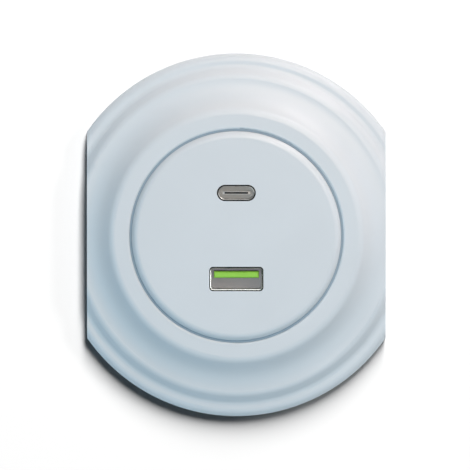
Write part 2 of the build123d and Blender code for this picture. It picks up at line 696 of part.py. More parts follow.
def port_board():
    board = span(-column_x, column_x, -board_y, board_y, port_board_back, port_board_top)
    for side in (-1, 1):
        slot = Pos(side * (usb_a_outer[0] - SHEET) / 2, usb_a_y, port_board_top)
        grown = 2 * LEG_CLEARANCE
        board -= slot * Box(SHEET + grown, SHELL_LEG_WIDTH + grown, 4 * BOARD_THICK)
    return board


def mains_board():
    board = span(-column_x, column_x, -board_y, board_y, mains_board_back, mains_board_top)
    for side in (-1, 1):
        low, high = sorted((side * wing_low, side * wing_high))
        board += span(-wing_x, wing_x, low, high, mains_board_back, mains_board_top)
    return board


def board_spacers():
    return at_corners(rod(0, 0, mains_board_top, port_board_back, SPACER_RADIUS), spacer_x, spacer_y)


def link_pins():
    pins = []
    y = -spacer_y + SPACER_RADIUS + LINK_PITCH
    for i in range(4):
        x = (i - 1.5) * LINK_PITCH
        pin = Pos(x, y, (mains_board_top + port_board_back) / 2)
        pins.append(pin * Box(LINK_PIN, LINK_PIN, BOARD_GAP))
    return pins


# Parts on the boards, each placed from its neighbour, standing on the mains board and reaching back
can_x = -(column_x - BULK_RADIUS - BOARD_EDGE)
second_can_y = CAN_ROW - BULK_RADIUS - SECOND_BULK_RADIUS - PART_GAP
transformer_at = (can_x + BULK_RADIUS + PART_GAP + CORE_WIDTH / 2, TRANSFORMER_ROW)
choke_at = (can_x, second_can_y - SECOND_BULK_RADIUS - PART_GAP - CHOKE_RADIUS)
xcap_x = column_x - 2 * PART_GAP - XCAP_WIDTH / 2
xcap_y = TRANSFORMER_ROW - BOBBIN_DEPTH / 2 - 3 * PART_GAP - XCAP_THICK / 2
disc_x = xcap_x - XCAP_WIDTH / 2 + DISC_RADIUS + PART_GAP
disc_y = xcap_y - XCAP_THICK / 2 - PART_GAP - DISC_THICK / 2
safety_x = column_x - SAFETY_RADIUS
safety_y = xcap_y - XCAP_THICK / 2 - PART_GAP - SAFETY_THICK / 2
fuse_x = -(2 * terminal_x + 3 * PART_GAP + FUSE_RADIUS)
fuse_y = choke_at[1] - CHOKE_RADIUS - PART_GAP - FUSE_RADIUS


def standing(x, y, radius, height):
    """A round part that stands on the back of the mains board."""
    return rod(x, y, mains_board_back - height, mains_board_back, radius)


def block(x, y, width, depth, height):
    """A box-shaped part that stands on the back of the mains board."""
    return Pos(x, y, mains_board_back - height / 2) * Box(width, depth, height)


def chip(at, size, board_z):
    """A flat chip with its underside on a board's face."""
    width, depth, height = size
    return Pos(at[0], at[1], board_z + height / 2) * Box(width, depth, height)


def transformer_window():
    """Half the width of a core window, its middle, and the height between the yokes."""
    width = (CORE_WIDTH - 2 * CORE_YOKE - CORE_LIMB) / 2
    return width, CORE_LIMB / 2 + width / 2, CORE_HEIGHT - 2 * CORE_YOKE


def transformer_core():
    width, middle, height = transformer_window()
    x, y = transformer_at
    core = Box(CORE_WIDTH, CORE_DEPTH, CORE_HEIGHT)
    for side in (-1, 1):
        core -= Pos(side * middle, 0, 0) * Box(width, CORE_DEPTH, height)
    return Pos(x, y, mains_board_back - LEAD - CORE_HEIGHT / 2) * core


def bobbin_tube(grow, height):
    return Box(CORE_LIMB + 2 * grow, CORE_DEPTH + 2 * grow, height)


def transformer_bobbin():
    width, middle, height = transformer_window()
    x, y = transformer_at
    outer_x = 2 * (middle + width / 2 - FIT_CLEARANCE)
    tall = height - 2 * FIT_CLEARANCE
    bobbin = bobbin_tube(FIT_CLEARANCE + BOBBIN_WALL, tall)
    for end in (-1, 1):
        flange = Pos(0, 0, end * (tall - BOBBIN_WALL) / 2)
        bobbin += flange * Box(outer_x, BOBBIN_DEPTH, BOBBIN_WALL)
    bobbin -= bobbin_tube(FIT_CLEARANCE, CORE_HEIGHT)
    return Pos(x, y, mains_board_back - LEAD - CORE_HEIGHT / 2) * bobbin


def transformer_winding():
    width, middle, height = transformer_window()
    x, y = transformer_at
    outer_x = 2 * (middle + width / 2 - FIT_CLEARANCE - WINDING_INSET)
    tall = height - 2 * FIT_CLEARANCE - 2 * BOBBIN_WALL
    coil = Box(outer_x, BOBBIN_DEPTH - 2 * WINDING_INSET, tall)
    coil = fillet(coil.edges().filter_by(Axis.Z), WINDING_ROUND)
    coil -= bobbin_tube(FIT_CLEARANCE + BOBBIN_WALL, tall)
    return Pos(x, y, mains_board_back - LEAD - CORE_HEIGHT / 2) * coil


def transformer_pins():
    """Feet that lift the bobbin's flange off the board."""
    width, middle, height = transformer_window()
    x, y = transformer_at
    foot = mains_board_back - LEAD - CORE_YOKE - FIT_CLEARANCE
    row = BOBBIN_DEPTH / 2 - BOBBIN_PIN_INSET
    pins = []
    for side in (-1, 1):
        for i in (-1, 0, 1):
            pin = Pos(x + i * LINK_PITCH, y + side * row, (foot + mains_board_back) / 2)
            pins.append(pin * Box(LINK_PIN, LINK_PIN, mains_board_back - foot))
    return pins


def can_capacitor(x, y, radius, height):
    """An aluminium can with the rolled bead near its base."""
    can = standing(x, y, radius, height)
    bead_z = mains_board_back - height * CAN_BEAD_SHARE
    bead = Pos(x, y, bead_z) * Torus(radius + CAN_BEAD_OUT, CAN_BEAD_RADIUS)
    can = fillet(can.faces().sort_by(Axis.Z)[0].edges(), CAN_EDGE_ROUND)
    return can - bead


def bulk_capacitors():
    return [can_capacitor(can_x, CAN_ROW, BULK_RADIUS, BULK_HEIGHT),
            can_capacitor(can_x, second_can_y, SECOND_BULK_RADIUS, BULK_HEIGHT)]


def output_capacitors():
    y = (wing_low + wing_high) / 2
    x = wing_x - OUTPUT_RADIUS - OUTPUT_INSET
    return [can_capacitor(x, y, OUTPUT_RADIUS, OUTPUT_HEIGHT),
            can_capacitor(x, -y, OUTPUT_RADIUS, OUTPUT_HEIGHT)]


def line_choke():
    """A drum core: two flanges with the wire wound between them."""
    x, y = choke_at
    top = mains_board_back
    foot = top - CHOKE_HEIGHT
    drum = rod(x, y, top - CHOKE_FLANGE, top, CHOKE_RADIUS) + rod(x, y, foot, top, CHOKE_CORE)
    return drum + rod(x, y, foot, foot + CHOKE_FLANGE, CHOKE_RADIUS)


def choke_winding():
    x, y = choke_at
    low = mains_board_back - CHOKE_HEIGHT + CHOKE_FLANGE
    high = mains_board_back - CHOKE_FLANGE
    return rod(x, y, low, high, CHOKE_RADIUS - CHOKE_WIRE_INSET) - rod(x, y, low, high, CHOKE_CORE)


def interference_capacitor():
    box = block(xcap_x, xcap_y, XCAP_WIDTH, XCAP_THICK, XCAP_HEIGHT)
    return fillet(box.edges().filter_by(Axis.Z), XCAP_EDGE_ROUND)


def lead_disc(x, y, radius, thick):
    """A dipped disc on edge, standing on two leads."""
    middle = mains_board_back - LEAD - radius
    disc = Pos(x, y, middle) * Rot(90, 0, 0) * Cylinder(radius, thick)
    disc = fillet(disc.edges(), thick * DISC_EDGE_SHARE)
    for side in (-1, 1):
        lead_x = x + side * radius * LEAD_SPREAD_SHARE
        disc += rod(lead_x, y, middle, mains_board_back, LEAD_RADIUS)
    return disc


def varistor():
    return lead_disc(disc_x, disc_y, DISC_RADIUS, DISC_THICK)


def safety_capacitor():
    return lead_disc(safety_x, safety_y, SAFETY_RADIUS, SAFETY_THICK)


def fuse():
    body = standing(fuse_x, fuse_y, FUSE_RADIUS, FUSE_HEIGHT)
    return fillet(body.faces().sort_by(Axis.Z)[0].edges(), FUSE_EDGE_ROUND)


def bridge_rectifier():
    return chip(RECTIFIER_AT, RECTIFIER_SIZE, mains_board_top)


def power_controller():
    return chip(CONTROLLER_AT, CONTROLLER_SIZE, mains_board_top)


def optocoupler():
    return chip(OPTOCOUPLER_AT, OPTOCOUPLER_SIZE, mains_board_top)


def charge_controller():
    """The chip behind the ports, on the back of their board."""
    return chip(CHARGER_AT, CHARGER_SIZE, port_board_back - CHARGER_SIZE[2])


# Terminal blocks, wires from below and screws from behind
def terminal_block():
    """One pole, drawn on the middle line: a wire entry, a bay for the cage and a driver hole."""
    half = POLE_WIDTH / 2
    front = terminal_y - POLE_LENGTH / 2
    back = terminal_y + POLE_LENGTH / 2
    pole = span(-half, half, front, back, mains_board_back - POLE_HEIGHT, mains_board_back)
    pole = chamfer(pole.faces().sort_by(Axis.Z)[0].edges().filter_by(Axis.Y), POLE_CHAMFER)
    entry = Pos(0, front, wire_z) * Rot(90, 0, 0) * Cylinder(WIRE_RADIUS, 2 * WIRE_ENTRY)
    bay_x = CAGE_WIDTH / 2 + FIT_CLEARANCE
    bay_top = wire_z + CAGE_HEIGHT / 2 + FIT_CLEARANCE
    bay_foot = wire_z - CAGE_HEIGHT / 2 - FIT_CLEARANCE
    bay = span(-bay_x, bay_x, cage_front_y - FIT_CLEARANCE, back, bay_foot, bay_top)
    driver = rod(0, terminal_screw_y, mains_board_back - POLE_HEIGHT - 1, wire_z, driver_r)
    return pole - entry - bay - driver


def terminal_cage():
    """A brass box with a square way through for the wire and a tapped rear wall."""
    low = wire_z - CAGE_HEIGHT / 2
    high = wire_z + CAGE_HEIGHT / 2
    half = CAGE_WIDTH / 2
    back = cage_front_y + CAGE_LENGTH
    cage = span(-half, half, cage_front_y, back, low, high)
    way = half - CAGE_WALL
    cage -= span(-way, way, cage_front_y - 1, back + 1, low + 2 * CAGE_WALL, high - CAGE_WALL)
    return cage - rod(0, terminal_screw_y, low - 1, wire_z, TERMINAL_SCREW_RADIUS + CLAW_PIN_FIT)


def terminal_screw():
    low = wire_z - CAGE_HEIGHT / 2
    head_under = low - TERMINAL_HEAD_GAP
    screw = rod(0, terminal_screw_y, head_under, wire_z, TERMINAL_SCREW_RADIUS)
    head_end = head_under - TERMINAL_HEAD_HEIGHT
    screw += rod(0, terminal_screw_y, head_end, head_under, TERMINAL_SCREW_HEAD)
    half = DRIVER_SLOT / 2
    reach = TERMINAL_SCREW_HEAD
    slot_y = terminal_screw_y
    slot_top = head_end + TERMINAL_HEAD_HEIGHT / 2
    return screw - span(-reach, reach, slot_y - half, slot_y + half, head_end, slot_top)


def two_poles(piece):
    return [Pos(side * terminal_x, 0, 0) * piece for side in (-1, 1)]


# Every node, then stood upright with the room towards -y and the wall's face on y = 0
nodes = {
    "cover_frame": cover_frame(),
    "centre_plate": centre_plate(),
    "usb_a_shell": usb_a_shell(),
    "usb_a_insulator": usb_a_insulator(),
    "usb_a_tongue": usb_a_tongue(),
    "usb_a_contacts": usb_a_contacts(),
    "usb_c_shell": usb_c_shell(),
    "usb_c_tongue": usb_c_tongue(),
    "usb_c_contacts": usb_c_contacts(),
    "usb_c_riser": usb_c_riser(),
    "front_cover": front_cover(),
    "rear_housing": rear_housing(),
    "support_ring": support_ring(),
    "housing_screws": housing_screws(),
    "port_board": port_board(),
    "mains_board": mains_board(),
    "board_spacers": board_spacers(),
    "link_pins": link_pins(),
    "transformer_core": transformer_core(),
    "transformer_bobbin": transformer_bobbin(),
    "transformer_winding": transformer_winding(),
    "transformer_pins": transformer_pins(),
    "bulk_capacitors": bulk_capacitors(),
    "output_capacitors": output_capacitors(),
    "line_choke": line_choke(),
    "choke_winding": choke_winding(),
    "interference_capacitor": interference_capacitor(),
    "varistor": varistor(),
    "safety_capacitor": safety_capacitor(),
    "fuse": fuse(),
    "bridge_rectifier": bridge_rectifier(),
    "power_controller": power_controller(),
    "optocoupler": optocoupler(),
    "charge_controller": charge_controller(),
    "terminal_blocks": two_poles(terminal_block()),
    "terminal_cages": two_poles(terminal_cage()),
    "terminal_screws": two_poles(terminal_screw()),
}
clamping = {"claw": claw(), "claw_pin": claw_pin(), "claw_screw": claw_screw(), "claw_nut": claw_nut()}
for name, piece in clamping.items():
    nodes[name + "_right"], nodes[name + "_left"] = both_sides(piece)

os.makedirs("parts", exist_ok=True)
for name, shape in nodes.items():
    solids = shape if isinstance(shape, list) else [shape]
    upright = [Rot(90, 0, 0) * solid for solid in solids]
    export_step(Compound(children=upright) if len(upright) > 1 else upright[0], f"parts/{name}.step")
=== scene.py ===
# %% [markdown]
# # A charging socket for the wall
#
# The real object is a flush-mounted socket. What shows in the room is a pale blue moulded cover: a
# stepped round frame cut flat on two sides, and a round plate with two charging ports. Behind the
# wall's face sit a steel ring, a plastic housing with the electronics, and two claws that grip the
# wall box.
#
# Every solid comes from the imported model and stays where it is. This lesson gives each of them its
# finish, cuts real threads on the two claw screws, adds near-black rings of painted shade in the
# gaps round the ports and a blue-grey strip of painted shade in the joint round the plate, and
# lights the scene like the photograph.

import json
import math

import bmesh
import bpy
from mathutils import Matrix, Vector


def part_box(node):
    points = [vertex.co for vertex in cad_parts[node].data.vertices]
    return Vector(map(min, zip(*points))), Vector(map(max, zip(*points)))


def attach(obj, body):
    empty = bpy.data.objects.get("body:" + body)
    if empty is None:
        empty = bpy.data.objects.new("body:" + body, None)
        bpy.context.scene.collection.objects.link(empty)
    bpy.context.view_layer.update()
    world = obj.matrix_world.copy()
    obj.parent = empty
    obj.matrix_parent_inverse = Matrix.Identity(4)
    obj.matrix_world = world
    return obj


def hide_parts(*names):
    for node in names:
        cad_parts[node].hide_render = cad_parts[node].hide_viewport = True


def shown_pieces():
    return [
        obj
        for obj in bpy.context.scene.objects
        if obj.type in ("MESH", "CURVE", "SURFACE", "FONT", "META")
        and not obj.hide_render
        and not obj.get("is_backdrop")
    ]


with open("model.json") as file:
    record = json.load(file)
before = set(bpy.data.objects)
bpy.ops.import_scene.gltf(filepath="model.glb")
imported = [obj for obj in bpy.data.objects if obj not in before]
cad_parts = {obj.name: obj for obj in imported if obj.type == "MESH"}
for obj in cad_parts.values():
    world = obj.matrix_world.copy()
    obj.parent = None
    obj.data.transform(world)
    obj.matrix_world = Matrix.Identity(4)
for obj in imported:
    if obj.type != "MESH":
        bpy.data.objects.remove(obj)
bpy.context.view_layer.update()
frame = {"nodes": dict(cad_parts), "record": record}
nodes = frame["nodes"]
slot_of = {part["node"]: part["material_slot"] for part in frame["record"]["subparts"]}
MM = 0.001

# %% [markdown]
# ## Small tools for node trees
#
# A finish is a tree of nodes. Writing each node and link out takes many lines, so a few helpers do
# it: one adds a node and fills its inputs with plain values or with other nodes' outputs, another
# opens a node group with named sockets. Colours are read off a screen as 0 to 255, and Blender
# wants them linear.


# %% Helpers for node trees
def to_linear(red, green, blue):
    """A screen colour, 0 to 255, as the linear colour that a socket takes."""
    def channel(value):
        share = value / 255
        return share / 12.92 if share <= 0.04045 else ((share + 0.055) / 1.055) ** 2.4
    return (channel(red), channel(green), channel(blue), 1.0)


def put(tree, kind, inputs=None, **settings):
    """Adds a node, sets its options, and fills its inputs with values or with outputs."""
    node = tree.nodes.new(kind)
    for name, value in settings.items():
        setattr(node, name, value)
    for name, value in (inputs or {}).items():
        if isinstance(value, bpy.types.NodeSocket):
            tree.links.new(value, node.inputs[name])
        else:
            node.inputs[name].default_value = value
    return node


def open_group(name, inputs, outputs):
    """Starts a shader node group with named sockets, and gives its tree, entry and exit."""
    tree = bpy.data.node_groups.new(name, "ShaderNodeTree")
    for title, kind, value in inputs:
        socket = tree.interface.new_socket(
            title, in_out="INPUT", socket_type="NodeSocket" + kind)
        socket.default_value = value
    for title, kind in outputs:
        tree.interface.new_socket(title, in_out="OUTPUT", socket_type="NodeSocket" + kind)
    entry = tree.nodes.new("NodeGroupInput").outputs
    return tree, entry, tree.nodes.new("NodeGroupOutput").inputs


print("helpers for trees ready")

# %% [markdown]
# ## Small steps of arithmetic
#
# Every pattern here is a place on the object that is scaled, put through noise, stretched and mixed
# with a colour. Each of those is one node, and a helper for each keeps a pattern readable.

# %% Helpers for patterns
NOISE_LOW, NOISE_HIGH = 0.3, 0.7
FINE_DETAIL = 2.0


def object_place(tree):
    """Where a point lies in the object's own coordinates, in metres."""
    return put(tree, "ShaderNodeTexCoord").outputs["Object"]


def maths(tree, operation, first, second=0.0):
    """One step of arithmetic on two values."""
    return put(tree, "ShaderNodeMath", {0: first, 1: second}, operation=operation).outputs[0]


def vector(tree, operation, first, second=(0.0, 0.0, 0.0)):
    """One step of arithmetic on two vectors."""
    return put(tree, "ShaderNodeVectorMath", {
        0: first, 1: second}, operation=operation).outputs[0]


def distance_along(tree, place, steps):
    """How far a place lies along a direction, counted in steps for each metre."""
    return put(tree, "ShaderNodeVectorMath", {
        0: place, 1: steps}, operation="DOT_PRODUCT").outputs["Value"]


def scaled(tree, colour, factor):
    """A colour or a vector times a factor."""
    return put(tree, "ShaderNodeVectorMath", {
        0: colour, "Scale": factor}, operation="SCALE").outputs[0]


def noise(tree, place, scale, detail=3.0, distortion=0.0):
    """Smooth noise at a place; the larger the scale, the finer it is."""
    return put(tree, "ShaderNodeTexNoise", {
        "Vector": place, "Scale": scale, "Detail": detail, "Distortion": distortion}).outputs[0]


def spread(tree, value, low, high):
    """Noise keeps mostly to its middle values; this stretches those over a wanted span."""
    return put(tree, "ShaderNodeMapRange", {
        "Value": value, "From Min": NOISE_LOW, "From Max": NOISE_HIGH,
        "To Min": low, "To Max": high}).outputs[0]


def about(tree, value, middle, change):
    """Noise stretched evenly about a middle value."""
    low = maths(tree, "SUBTRACT", middle, change)
    high = maths(tree, "ADD", middle, change)
    return spread(tree, value, low, high)


def mixed(tree, factor, first, second):
    """Two colours mixed by a factor or mask."""
    return put(tree, "ShaderNodeMix", {
        0: factor, 6: first, 7: second}, data_type="RGBA").outputs[2]


print("helpers for patterns ready")

# %% [markdown]
# ## Moulded plastic
#
# Injection-moulded plastic is never one flat colour. The pigment is a little uneven where the melt
# flowed, the gloss changes where the mould was polished by hand, and the skin has a fine orange
# peel. All three could be painted as images, but noise on the object's own coordinates needs no
# unwrapping and keeps its real size. One group holds the three effects, and every plastic in the
# socket uses it with its own values.

# %% Group: moulded skin
OUTPUTS = [("Colour", "Color"), ("Roughness", "Float"), ("Height", "Float")]
FLOW_BEND = 0.6
skin, skin_in, skin_out = open_group("moulded_skin", [
    ("Colour", "Color", (0.8, 0.8, 0.8, 1.0)),
    ("Flow", "Float", 0.02), ("Flow Scale", "Float", 90.0), ("Grain Scale", "Float", 2500.0),
    ("Roughness", "Float", 0.4), ("Gloss Change", "Float", 0.04)], OUTPUTS)
place = object_place(skin)
flow = noise(skin, place, skin_in["Flow Scale"], distortion=FLOW_BEND)
grain = noise(skin, place, skin_in["Grain Scale"], detail=FINE_DETAIL)
tone = about(skin, flow, 1.0, skin_in["Flow"])
skin.links.new(scaled(skin, skin_in["Colour"], tone), skin_out["Colour"])
gloss = about(skin, flow, skin_in["Roughness"], skin_in["Gloss Change"])
skin.links.new(gloss, skin_out["Roughness"])
skin.links.new(grain, skin_out["Height"])
print("group", skin.name)

# %% [markdown]
# ## Drawn and plated metal
#
# Sheet that has been rolled and plated shows fine streaks along the rolling direction, and cloudy
# patches in the plating. Stretching one noise along an axis gives the streaks, and a second, coarse
# noise the clouds.

# %% Group: rolled metal
CLOUD_SCALE = 260.0
rolled, rolled_in, rolled_out = open_group("rolled_metal", [
    ("Colour", "Color", (0.6, 0.6, 0.6, 1.0)),
    ("Streak Scale", "Vector", (400.0, 4000.0, 4000.0)),
    ("Streaks", "Float", 0.08), ("Clouds", "Float", 0.06),
    ("Roughness", "Float", 0.3), ("Gloss Change", "Float", 0.06)], OUTPUTS)
place = object_place(rolled)
stretched = vector(rolled, "MULTIPLY", place, rolled_in["Streak Scale"])
streak = noise(rolled, stretched, 1.0)
cloud = noise(rolled, place, CLOUD_SCALE)
tone = maths(rolled, "MULTIPLY", about(rolled, streak, 1.0, rolled_in["Streaks"]),
             about(rolled, cloud, 1.0, rolled_in["Clouds"]))
rolled.links.new(scaled(rolled, rolled_in["Colour"], tone), rolled_out["Colour"])
gloss = about(rolled, streak, rolled_in["Roughness"], rolled_in["Gloss Change"])
rolled.links.new(gloss, rolled_out["Roughness"])
rolled.links.new(streak, rolled_out["Height"])
print("group", rolled.name)

# %% [markdown]
# ## Zinc and tin crystals
#
# Hot-dipped zinc and tin cool into flat crystals that each catch the light at a slightly different
# angle. A Voronoi pattern has just such cells: its random cell colour, reduced to one value, sets
# each crystal's tone and gloss. A little noise bends the straight cell borders, as real crystals
# are never cut with a ruler.

# %% Group: spangle
BORDER_SCALE = 900.0
BORDER_BEND = 0.6 * MM
SPECKLE_SCALE = 5000.0
SPECKLE = 0.04
spangle, spangle_in, spangle_out = open_group("zinc_spangle", [
    ("Colour", "Color", (0.6, 0.6, 0.6, 1.0)),
    ("Crystal Scale", "Float", 400.0), ("Contrast", "Float", 0.1),
    ("Roughness", "Float", 0.35), ("Gloss Change", "Float", 0.08)], OUTPUTS)
place = object_place(spangle)
bent = put(spangle, "ShaderNodeTexNoise", {
    "Vector": place, "Scale": BORDER_SCALE, "Detail": FINE_DETAIL}).outputs["Color"]
moved = vector(spangle, "ADD", place, scaled(spangle, bent, BORDER_BEND))
cells = put(spangle, "ShaderNodeTexVoronoi", {
    "Vector": moved, "Scale": spangle_in["Crystal Scale"]}).outputs["Color"]
facet = put(spangle, "ShaderNodeSeparateColor", {"Color": cells}).outputs[0]
fine = noise(spangle, place, SPECKLE_SCALE)
tone = maths(spangle, "MULTIPLY", about(spangle, facet, 1.0, spangle_in["Contrast"]),
             about(spangle, fine, 1.0, SPECKLE))
spangle.links.new(scaled(spangle, spangle_in["Colour"], tone), spangle_out["Colour"])
gloss = about(spangle, facet, spangle_in["Roughness"], spangle_in["Gloss Change"])
spangle.links.new(gloss, spangle_out["Roughness"])
spangle.links.new(fine, spangle_out["Height"])
print("group", spangle.name)

# %% [markdown]
# ## Windings
#
# Wire laid turn beside turn, and tape wrapped layer on layer, both show as rounded bands with a
# crease between them. A wave texture would do, but a fraction of the distance along the winding's
# axis gives the exact pitch: within each turn the height follows a half circle, and the colour
# darkens with it towards the seam, as painted shade in the crease.

# %% Group: wound turns
WAVER_SCALE = 300.0
WAVER = 0.12
GLOSS_SCALE = 1500.0
wound, wound_in, wound_out = open_group("wound_turns", [
    ("Colour", "Color", (0.6, 0.6, 0.6, 1.0)), ("Seam Colour", "Color", (0.1, 0.1, 0.1, 1.0)),
    ("Turns", "Vector", (0.0, 1000.0, 0.0)),
    ("Roughness", "Float", 0.35), ("Gloss Change", "Float", 0.06)], OUTPUTS)
place = object_place(wound)
waver = spread(wound, noise(wound, place, WAVER_SCALE), -WAVER, WAVER)
along = distance_along(wound, place, wound_in["Turns"])
turn = maths(wound, "FRACT", maths(wound, "ADD", along, waver))
doubled = maths(wound, "MULTIPLY", turn, 2.0)
from_middle = maths(wound, "ABSOLUTE", maths(wound, "SUBTRACT", doubled, 1.0))
squared = maths(wound, "MULTIPLY", from_middle, from_middle)
round_top = maths(wound, "SQRT", maths(wound, "SUBTRACT", 1.0, squared))
# The colour darkens with the height towards the seam: painted shade in the crease between turns.
bands_with_painted_shade = mixed(wound, round_top, wound_in["Seam Colour"], wound_in["Colour"])
wound.links.new(bands_with_painted_shade, wound_out["Colour"])
gloss = about(wound, noise(wound, place, GLOSS_SCALE),
              wound_in["Roughness"], wound_in["Gloss Change"])
wound.links.new(gloss, wound_out["Roughness"])
wound.links.new(round_top, wound_out["Height"])
print("group", wound.name)

# %% [markdown]
# ## Materials from the groups
#
# The shader itself stays in each material, so that its plain values (how metallic it is, how much
# it mirrors) sit on its own sockets. A short function joins a group to a shader and adds a slight
# bump, whose distance is in metres.


# %% Material maker
def finish(name, group, values, bump, **plain):
    """A material with a group's colour, roughness and bump; plain values go on the shader."""
    material = bpy.data.materials.new(name)
    material.use_nodes = True
    tree = material.node_tree
    shader = tree.nodes["Principled BSDF"]
    effect = put(tree, "ShaderNodeGroup", node_tree=group)
    for title, value in values.items():
        effect.inputs[title].default_value = value
    relief = put(tree, "ShaderNodeBump", {
        "Strength": 1.0, "Distance": bump, "Height": effect.outputs["Height"]})
    tree.links.new(effect.outputs["Colour"], shader.inputs["Base Color"])
    tree.links.new(effect.outputs["Roughness"], shader.inputs["Roughness"])
    tree.links.new(relief.outputs["Normal"], shader.inputs["Normal"])
    for title, value in plain.items():
        shader.inputs[title.replace("_", " ")].default_value = value
    return material


finishes = {}
print("material maker ready")

# %% [markdown]
# ## The cover
#
# Frame and plate are the same satin plastic, a pale blue that looks almost white where the light
# falls on it and turns blue-grey on the slopes that face away. The mould is well polished, so the
# flow marks and the orange peel are both very faint.

# %% Cover plastic
finishes["cover"] = finish("cover_satin", skin, {
    "Colour": to_linear(193, 203, 210), "Flow": 0.012, "Flow Scale": 60.0,
    "Grain Scale": 1800.0, "Roughness": 0.4, "Gloss Change": 0.02}, bump=0.8e-6)
print("cover finish ready")

# %% [markdown]
# ## The ports
#
# Each port is a nickel-plated tube of sheet metal with a flared mouth, and a plastic core in its
# back. The larger one has a bright green tongue over a grey back wall. A thin near-black ring round
# each tube fills the gap in the plate's opening, and its colour is painted shade for that gap.
# Nickel is rolled metal with streaks along the tube, and the plastics are the moulded skin again, at
# a finer scale because the pieces are so small.

# %% Port metals and plastics
finishes["port_metal"] = finish("port_nickel", rolled, {
    "Colour": to_linear(196, 197, 194), "Streak Scale": (600.0, 500.0, 6000.0),
    "Roughness": 0.3}, bump=1.5e-6, Metallic=1.0)
finishes["tongue_green"] = finish("tongue_green", skin, {
    "Colour": to_linear(134, 196, 66), "Flow": 0.04, "Flow Scale": 500.0,
    "Roughness": 0.4}, bump=1e-6)
finishes["port_grey"] = finish("port_grey", skin, {
    "Colour": to_linear(122, 122, 126), "Flow": 0.04, "Flow Scale": 600.0,
    "Roughness": 0.5}, bump=1e-6)
# Near-black painted shade for the gap round each port tube.
finishes["port_gap_shade"] = finish("port_gap_shade", skin, {
    "Colour": to_linear(18, 18, 19), "Flow": 0.08, "Flow Scale": 700.0,
    "Roughness": 0.7}, bump=1e-6, Specular_IOR_Level=0.2)
finishes["contact"] = finish("contact_gold", rolled, {
    "Colour": to_linear(230, 190, 110), "Streak Scale": (9000.0, 900.0, 9000.0),
    "Roughness": 0.25}, bump=1e-6, Metallic=1.0)
print("port finishes ready")

# %% [markdown]
# ## The core of the small port
#
# The tongue of the small port is grey like its back wall, with a dark insert along its tip. Both
# are one solid, so the insert is a mask: a box on the object's coordinates around the tip, inside
# which the colour changes. Two materials on two groups of faces would need the mesh cut, and the
# solid's mesh is left as it is.


# %% Masks and colours
def inside_box(tree, centre, half):
    """A mask on Object coordinates that is 1 inside a box and 0 outside."""
    away = vector(tree, "SUBTRACT", object_place(tree), centre)
    size = vector(tree, "ABSOLUTE", vector(tree, "DIVIDE", away, half))
    axes = put(tree, "ShaderNodeSeparateXYZ", {0: size}).outputs
    furthest = maths(tree, "MAXIMUM", axes[0], maths(tree, "MAXIMUM", axes[1], axes[2]))
    return maths(tree, "LESS_THAN", furthest, 1.0)


def group_colour(tree):
    """The colour that a finish gets from its group."""
    return next(node for node in tree.nodes if node.type == "GROUP").outputs["Colour"]


print("masks ready")

# %% Small port core
INSERT_HALF = (2.8 * MM, 0.4 * MM, 0.24 * MM)
INSERT_COLOUR = to_linear(24, 24, 25)
core = finish("port_core", skin, {
    "Colour": to_linear(166, 166, 164), "Flow": 0.05, "Flow Scale": 600.0,
    "Roughness": 0.6}, bump=1e-6, Specular_IOR_Level=0.1)
tree = core.node_tree
low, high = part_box("usb_c_tongue")
tip = (0.0, low[1], (low[2] + high[2]) / 2)
dark_tip = mixed(tree, inside_box(tree, tip, INSERT_HALF), group_colour(tree), INSERT_COLOUR)
tree.links.new(dark_tip, tree.nodes["Principled BSDF"].inputs["Base Color"])
finishes["port_black"] = core
print("dark insert at", [round(value, 4) for value in tip])

# %% [markdown]
# ## Behind the wall: housing and steel
#
# The housing is a flame-proof white plastic with the fine spark-eroded texture of a mould that
# nobody polishes. The ring, claws and screws are zinc-plated steel.

# %% Housing and steel
finishes["housing_white"] = finish("housing_white", skin, {
    "Colour": to_linear(222, 222, 217), "Flow": 0.02, "Flow Scale": 70.0,
    "Grain Scale": 3200.0, "Roughness": 0.55, "Gloss Change": 0.05}, bump=6e-6)
finishes["terminal_body"] = finish("terminal_body", skin, {
    "Colour": to_linear(92, 94, 97), "Flow": 0.05, "Flow Scale": 300.0,
    "Roughness": 0.5}, bump=3e-6)
finishes["zinc_steel"] = finish("zinc_steel", spangle, {
    "Colour": to_linear(194, 197, 200), "Crystal Scale": 520.0, "Contrast": 0.045,
    "Roughness": 0.42, "Gloss Change": 0.03}, bump=2e-6, Metallic=1.0)
finishes["tin"] = finish("tinned_leads", spangle, {
    "Colour": to_linear(208, 207, 203), "Crystal Scale": 1500.0, "Contrast": 0.06,
    "Roughness": 0.28}, bump=1e-6, Metallic=1.0)
finishes["brass"] = finish("brass", rolled, {
    "Colour": to_linear(214, 184, 110), "Streak Scale": (2500.0, 500.0, 2500.0),
    "Streaks": 0.1, "Roughness": 0.3}, bump=2e-6, Metallic=1.0)
print("housing and steel ready")

# %% [markdown]
# ## On the boards: wound and pressed parts
#
# The transformer's coil is wrapped in yellow tape and the choke is wound with enamelled copper, so
# both take the wound group at their own pitch. Ferrite is a pressed and fired powder: rough, dark,
# with a fine speckle.

# %% Coils and cores
# Each darker colour at the seam is painted shade for the crease between turns.
finishes["tape_yellow"] = finish("tape_yellow", wound, {
    "Colour": to_linear(224, 192, 62), "Seam Colour": to_linear(170, 138, 36),
    "Turns": (0.0, 420.0, 0.0), "Roughness": 0.3}, bump=4e-5)
finishes["copper"] = finish("enamelled_copper", wound, {
    "Colour": to_linear(204, 116, 66), "Seam Colour": to_linear(74, 34, 20),
    "Turns": (0.0, 2200.0, 0.0), "Roughness": 0.26}, bump=1.5e-4, Metallic=0.85)
finishes["ferrite"] = finish("ferrite", skin, {
    "Colour": to_linear(66, 66, 68), "Flow": 0.2, "Flow Scale": 4000.0,
    "Grain Scale": 7000.0, "Roughness": 0.75, "Gloss Change": 0.1}, bump=1e-5)
finishes["bobbin_black"] = finish("bobbin_black", skin, {
    "Colour": to_linear(40, 40, 40), "Flow": 0.06, "Flow Scale": 300.0,
    "Roughness": 0.5}, bump=3e-6)
print("coils and cores ready")

